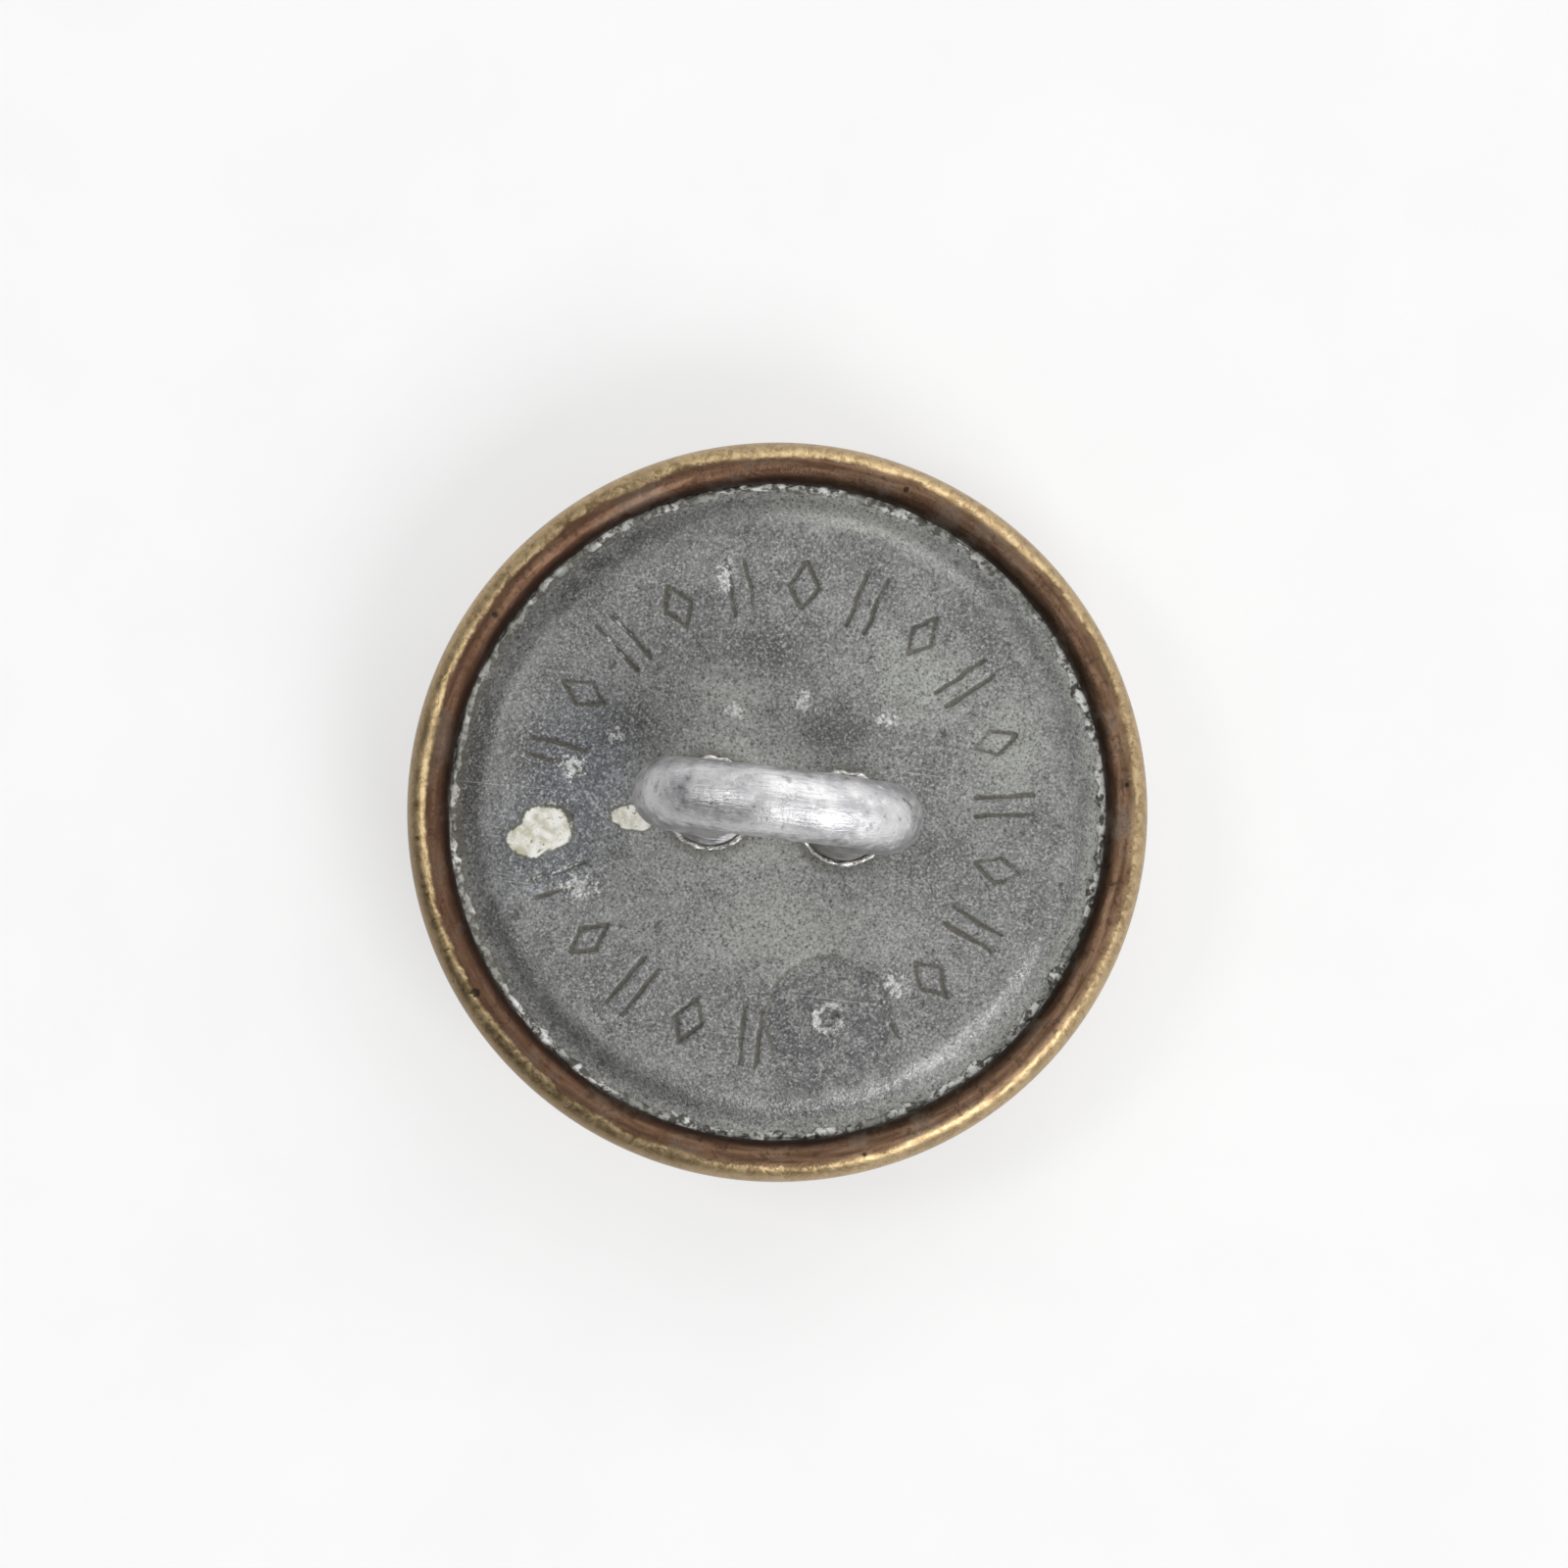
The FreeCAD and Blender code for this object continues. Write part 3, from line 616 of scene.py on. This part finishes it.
    height = calculate(finish, "ADD", height, calculate(finish, "MULTIPLY", mottle, 0.9))
    raise_surface(finish, shader, height, 0.032)
    return finish


ridge_out = ridge_bend + plate_thickness
ridge_reach = table_radius - ridge_out * math.tan(slope_angle / 2)
ridge_centre = (ridge_reach, 0, plate_top - ridge_out)
foot_reach = foot_radius + flange_bend * math.tan(slope_angle / 2)
foot_centre = (foot_reach, 0, plate_top - plate_rise + flange_bend)
outwards = Vector((math.sin(slope_angle), 0, math.cos(slope_angle)))
marked_half = mark_height / 2 + 0.1 * MM
set_pen((0, 0, plate_top))
draw_to((mark_radius - marked_half, 0, plate_top), 62)
draw_to((mark_radius + marked_half, 0, plate_top), 38)
draw_to((ridge_reach, 0, plate_top), 5)
bend_round(ridge_centre, -math.degrees(slope_angle), 8)
draw_to(Vector(foot_centre) - outwards * flange_bend, 4)
bend_round(foot_centre, math.degrees(slope_angle), 3)
draw_to((flange_radius, 0, flange_top), 8)
draw_to((flange_radius, 0, flange_top - plate_thickness), 2)
draw_to((foot_reach, 0, flange_top - plate_thickness), 2)
bend_round(foot_centre, -math.degrees(slope_angle), 3)
draw_to(Vector(ridge_centre) + outwards * ridge_bend, 2)
bend_round(ridge_centre, math.degrees(slope_angle), 4)
draw_to((0, 0, plate_bottom), 4)
spin_section(plate_turn_steps)
for foot in foot_places:
    bpy.ops.mesh.select_all(action="DESELECT")
    bpy.ops.mesh.primitive_cylinder_add(
        vertices=64, radius=hole_radius, depth=3 * plate_thickness, location=(foot.x, foot.y, plate_top)
    )
    bpy.ops.mesh.intersect_boolean(operation="DIFFERENCE", solver="EXACT")
plate = finish_piece("back_plate_zinc", oxidised_zinc(), "back_plate")
weather_plate(plate)

# ---------------------------------------------------------------------------------------------
# Collars: a thin burr of zinc that stands round each of the plate's two holes, pushed up when
# they were punched. They are part of the plate's sheet.
# ---------------------------------------------------------------------------------------------
wire_radius = 1.05 * MM
shoulder_spread = 0.175 * MM
shoulder_radius = wire_radius + shoulder_spread
collar_width = 0.14 * MM
collar_gap = 0.05 * MM
collar_lift = 0.02 * MM
collar_radius = shoulder_radius + collar_gap + collar_width / 2


def roughen(piece, size, amount, seed):
    """Push every point in or out along its normal, by up to an amount in millimetres."""
    normals = [vertex.normal.copy() for vertex in piece.data.vertices]
    for vertex, normal in zip(piece.data.vertices, normals):
        place = vertex.co / (size * MM) + Vector((seed, 0, 0))
        vertex.co += normal * noise.noise(place) * amount * MM


def torn_zinc():
    """Bright flakes where the metal was torn up, with dirt caught between them."""
    finish, shader = new_finish("torn_zinc")
    flakes = grain(finish, 0.16, 35.0, detail=4.0)
    colour = tint(finish, between(finish, flakes, 0.36, 0.54), (0.16, 0.15, 0.13), (0.74, 0.73, 0.71))
    connect(finish, colour, shader, "Base Color")
    connect(finish, between(finish, flakes, 0.4, 0.6, 0.1, 0.85), shader, "Metallic")
    connect(finish, between(finish, flakes, 0.4, 0.6, 0.7, 0.36), shader, "Roughness")
    raise_surface(finish, shader, flakes, 0.03)
    return finish


burr = torn_zinc()
for number, foot in enumerate(foot_places):
    bpy.ops.object.select_all(action="DESELECT")
    bpy.ops.mesh.primitive_torus_add(
        location=(foot.x, foot.y, plate_top + collar_lift),
        major_radius=collar_radius,
        minor_radius=collar_width / 2,
        major_segments=160,
        minor_segments=12,
    )
    bpy.ops.object.transform_apply(location=True)
    collar = bpy.context.active_object
    roughen(collar, 0.30, 0.09, 31.0 + number)
    roughen(collar, 0.09, 0.03, 33.0 + number)
    finish_piece(f"collar_{number + 1}", burr, None)

# ---------------------------------------------------------------------------------------------
# Joint bloom: white zinc corrosion that has grown, crumb by crumb, out of the line where the
# brass bears on the plate. It clings to the zinc and nothing else holds it.
# ---------------------------------------------------------------------------------------------
bloom_thickness = 0.14 * MM
bloom_inset = 0.1 * MM
bloom_depth = 0.05 * MM
# The crumbs are drawn whiter towards the right and the lower right.
whiter_towards = (5.0, -2.5, 0)


def zinc_bloom():
    """Chalky white crumbs with grey dirt between them."""
    finish, shader = new_finish("zinc_bloom")
    lumps = grain(finish, 0.22, 41.0, detail=4.0)
    patches = grain(finish, 1.6, 42.0, detail=3.0)
    place = node(finish, "ShaderNodeTexCoord").outputs["Object"]
    whiter = node(finish, "ShaderNodeVectorMath", {0: place, 1: whiter_towards}, operation="DOT_PRODUCT")
    patches = calculate(finish, "ADD", patches, whiter.outputs["Value"])
    colour = tint(finish, between(finish, lumps, 0.42, 0.58), (0.09, 0.085, 0.075), (0.75, 0.75, 0.72))
    colour = tint(finish, between(finish, patches, 0.55, 0.42, 0.0, 0.7), colour, (0.13, 0.13, 0.105))
    connect(finish, colour, shader, "Base Color")
    shader.inputs["Roughness"].default_value = 0.92
    raise_surface(finish, shader, lumps, 0.05)
    return finish


bpy.ops.object.select_all(action="DESELECT")
bpy.ops.mesh.primitive_torus_add(
    location=(0, 0, flange_top - bloom_depth),
    major_radius=rolled_edge_radius - bloom_inset,
    minor_radius=bloom_thickness,
    major_segments=256,
    minor_segments=12,
)
bpy.ops.object.transform_apply(location=True)
roughen(bpy.context.active_object, 0.26, 0.21, 43.0)
roughen(bpy.context.active_object, 0.10, 0.07, 44.0)
finish_piece("joint_bloom", zinc_bloom(), None)

# ---------------------------------------------------------------------------------------------
# Shank loop: thick aluminium wire bent to a loop. Each end is upset to a shoulder that stands on
# the plate and a thinner end goes through its hole and is riveted over underneath.
# ---------------------------------------------------------------------------------------------
loop_low, loop_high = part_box("shank_loop")
rivet_level = loop_low.z
ankle_bend = 1.3 * MM
side_bend = 1.9 * MM
crown_bend = 4.6 * MM
shoulder_height = 0.25 * MM
tenon_radius = 0.8 * MM
rivet_radius = 1.2 * MM
foot_x = foot_places[1].x


def resize_to(old, new):
    """Step the selected round end in or out to another radius, flat."""
    centre = pen_place()
    bpy.ops.mesh.extrude_region_move(TRANSFORM_OT_translate={"value": (0, 0, 0)})
    ratio = new / old
    bpy.ops.transform.resize(value=(ratio, ratio, ratio), center_override=centre)


def worn_aluminium():
    """Light grey, rubbed smooth on top, with dull patches, fine scratches, and grime and painted shade low
    on the legs, most on the right foot.
    """
    finish, shader = new_finish("worn_aluminium")
    place = node(finish, "ShaderNodeTexCoord").outputs["Object"]
    parts = node(finish, "ShaderNodeSeparateXYZ", {0: place})
    level = parts.outputs["Z"]
    cloud = grain(finish, 1.1, 51.0, detail=4.0)
    mottle = grain(finish, 0.3, 52.0, detail=5.0, roughness=0.65)
    dust = grain(finish, 0.05, 53.0, detail=2.0)
    drawn = node(finish, "ShaderNodeMapping", {"Vector": place, "Scale": (0.12, 1.0, 0.5)}).outputs[0]
    lines = {"Vector": drawn, "Scale": 1 / (0.09 * MM), "Detail": 4.0, "Distortion": 0.8}
    lines = node(finish, "ShaderNodeTexNoise", lines).outputs["Fac"]
    colour = tint(finish, between(finish, cloud, 0.35, 0.65), (0.50, 0.50, 0.52), (0.74, 0.735, 0.74))
    colour = tint(finish, between(finish, mottle, 0.52, 0.7), colour, (0.84, 0.83, 0.83))
    colour = tint(finish, between(finish, mottle, 0.45, 0.31), colour, (0.38, 0.375, 0.38))
    colour = tint(finish, between(finish, dust, 0.73, 0.8), colour, (0.24, 0.22, 0.20))
    # Grime and painted shade low on the legs by the plate; the painted shade is strongest on the right foot,
    # under the bar.
    grime_and_shade = between(finish, level, plate_top + 0.9 * MM, plate_top + 0.1 * MM)
    grime_and_shade = ragged(finish, grime_and_shade, mottle, 0.4, 0.9, 0.9)
    right_foot_shade = between(finish, parts.outputs["X"], -1 * MM, 1 * MM, 0.2, 1.0)
    grime_and_shade = calculate(finish, "MULTIPLY", grime_and_shade, right_foot_shade)
    colour = tint(finish, calculate(finish, "MULTIPLY", grime_and_shade, 0.6), colour, (0.16, 0.14, 0.10))
    connect(finish, colour, shader, "Base Color")
    shader.inputs["Metallic"].default_value = 1.0
    rough = between(finish, mottle, 0.3, 0.7, 0.34, 0.52)
    rough = calculate(finish, "ADD", rough, calculate(finish, "MULTIPLY", grime_and_shade, 0.25))
    connect(finish, rough, shader, "Roughness")
    height = calculate(finish, "MULTIPLY", lines, 0.8)
    height = calculate(finish, "ADD", height, calculate(finish, "MULTIPLY", mottle, 1.0))
    raise_surface(finish, shader, height, 0.03)
    return finish


half_width = loop_high.x - wire_radius
lean = math.acos(1 - (half_width - foot_x) / (ankle_bend + side_bend))
ankle_level = plate_top + shoulder_height
side_x = half_width - side_bend
side_level = ankle_level + (ankle_bend + side_bend) * math.sin(lean)
crown_level = side_level - math.sqrt((crown_bend - side_bend) ** 2 - side_x**2)
crown_half = math.asin(side_x / (crown_bend - side_bend))
side_turn = math.degrees(math.pi / 2 + lean - crown_half)
bpy.ops.object.select_all(action="DESELECT")
bpy.ops.mesh.primitive_circle_add(
    vertices=64, radius=rivet_radius, fill_type="NGON", location=(-foot_x, 0, rivet_level)
)
bpy.ops.object.transform_apply(location=True)
bpy.ops.object.mode_set(mode="EDIT")
bpy.ops.mesh.select_all(action="SELECT")
draw_to((-foot_x, 0, plate_bottom), 2)
resize_to(rivet_radius, tenon_radius)
draw_to((-foot_x, 0, plate_top), 2)
resize_to(tenon_radius, shoulder_radius)
draw_to((-foot_x, 0, ankle_level), 3)
resize_to(shoulder_radius, wire_radius)
bend_round((-foot_x - ankle_bend, 0, ankle_level), math.degrees(lean), 16)
bend_round((-side_x, 0, side_level), -side_turn, 48)
bend_round((0, 0, crown_level), -2 * math.degrees(crown_half), 60)
bend_round((side_x, 0, side_level), -side_turn, 48)
bend_round((foot_x + ankle_bend, 0, ankle_level), math.degrees(lean), 16)
resize_to(wire_radius, shoulder_radius)
draw_to((foot_x, 0, plate_top), 3)
resize_to(shoulder_radius, tenon_radius)
draw_to((foot_x, 0, plate_bottom), 2)
resize_to(tenon_radius, rivet_radius)
draw_to((foot_x, 0, rivet_level), 2)
bpy.ops.mesh.select_all(action="SELECT")
bpy.ops.mesh.normals_make_consistent(inside=False)
bpy.ops.object.mode_set(mode="OBJECT")
roughen(bpy.context.active_object, 1.5, 0.05, 61.0)
roughen(bpy.context.active_object, 0.5, 0.012, 62.0)
finish_piece("shank_loop_wire", worn_aluminium(), "shank_loop")

# ---------------------------------------------------------------------------------------------
# Stage: a pale table of matt white acrylic, three soft boxes and a dim ceiling, seen from almost
# straight above. Nothing here is part of the button.
# ---------------------------------------------------------------------------------------------
table_width = 3.0
horizon_light = 0.62
ceiling_light = 0.35
window_light = (0.40, 0.21, 0.0)
table_glow = 0.565
lamp_distance = 0.45


def white_table():
    """Matt white acrylic with a very faint unevenness, lit a little from below."""
    finish, shader = new_finish("white_table")
    pulp = grain(finish, 6.0, 71.0, detail=6.0)
    colour = tint(finish, between(finish, pulp, 0.3, 0.7), (0.36, 0.36, 0.36), (0.38, 0.38, 0.38))
    connect(finish, colour, shader, "Base Color")
    shader.inputs["Roughness"].default_value = 0.9
    shader.inputs["Emission Color"].default_value = (1.0, 1.0, 1.0, 1.0)
    shader.inputs["Emission Strength"].default_value = table_glow
    return finish


bpy.ops.object.select_all(action="DESELECT")
bpy.ops.mesh.primitive_plane_add(size=table_width, location=(0, 0, cad_bounds[0][2]))
table = bpy.context.active_object
table.name = "table"
table.data.materials.append(white_table())

scene = bpy.context.scene
scene.view_settings.view_transform = "Standard"
world = bpy.data.worlds.new("studio")
scene.world = world
world.use_nodes = True
sky = world.node_tree
background = sky.nodes["Background"]
direction = sky.nodes.new("ShaderNodeTexCoord")
height = sky.nodes.new("ShaderNodeSeparateXYZ")
shade = sky.nodes.new("ShaderNodeMapRange")
shade.inputs["From Min"].default_value = 0.1
shade.inputs["From Max"].default_value = 0.95
shade.inputs["To Min"].default_value = horizon_light
shade.inputs["To Max"].default_value = ceiling_light
toward = sky.nodes.new("ShaderNodeVectorMath")
toward.operation = "DOT_PRODUCT"
toward.inputs[1].default_value = window_light
total = sky.nodes.new("ShaderNodeMath")
sky.links.new(direction.outputs["Generated"], height.inputs[0])
sky.links.new(height.outputs["Z"], shade.inputs["Value"])
sky.links.new(direction.outputs["Generated"], toward.inputs[0])
sky.links.new(shade.outputs["Result"], total.inputs[0])
sky.links.new(toward.outputs["Value"], total.inputs[1])
sky.links.new(total.outputs["Value"], background.inputs["Strength"])
background.inputs["Color"].default_value = (1, 1, 1, 1)


def soft_box(name, turn, lift, power, size):
    """Square lamp, turned round the button and lifted off the table by degrees, facing the button."""
    turn = math.radians(turn)
    lift = math.radians(lift)
    lamp = bpy.data.lights.new(name, "AREA")
    lamp.energy = power
    lamp.size = size
    stand = bpy.data.objects.new(name, lamp)
    flat = math.cos(lift)
    place = Vector((math.cos(turn) * flat, math.sin(turn) * flat, math.sin(lift))) * lamp_distance
    stand.location = place
    stand.rotation_euler = place.to_track_quat("Z", "Y").to_euler()
    scene.collection.objects.link(stand)


soft_box("soft_box_right", -48, 46, 0.95, 0.22)
soft_box("soft_box_behind", 72, 38, 0.54, 0.36)
soft_box("soft_box_left", 176, 58, 0.34, 0.12)

roll = math.radians(6.8)
tilt = math.radians(3.0)
camera_distance = 0.30
frame_width = 46.6 * MM
right = Vector((math.cos(roll), math.sin(roll), 0))
up = Vector((-math.sin(roll), math.cos(roll), 0))
backwards = Vector((0, 0, math.cos(tilt))) - up * math.sin(tilt)
target = Vector((0, 0, roll_level)) + right * 0.2 * MM + up * 0.82 * MM
lens = bpy.data.cameras.new("camera")
lens.lens = lens.sensor_width * camera_distance / frame_width
lens.clip_start = 0.01
camera = bpy.data.objects.new("camera", lens)
camera.matrix_world = Matrix.Translation(target + backwards * camera_distance) @ Matrix(
    (right, backwards.cross(right), backwards)
).transposed().to_4x4()
scene.collection.objects.link(camera)
scene.camera = camera
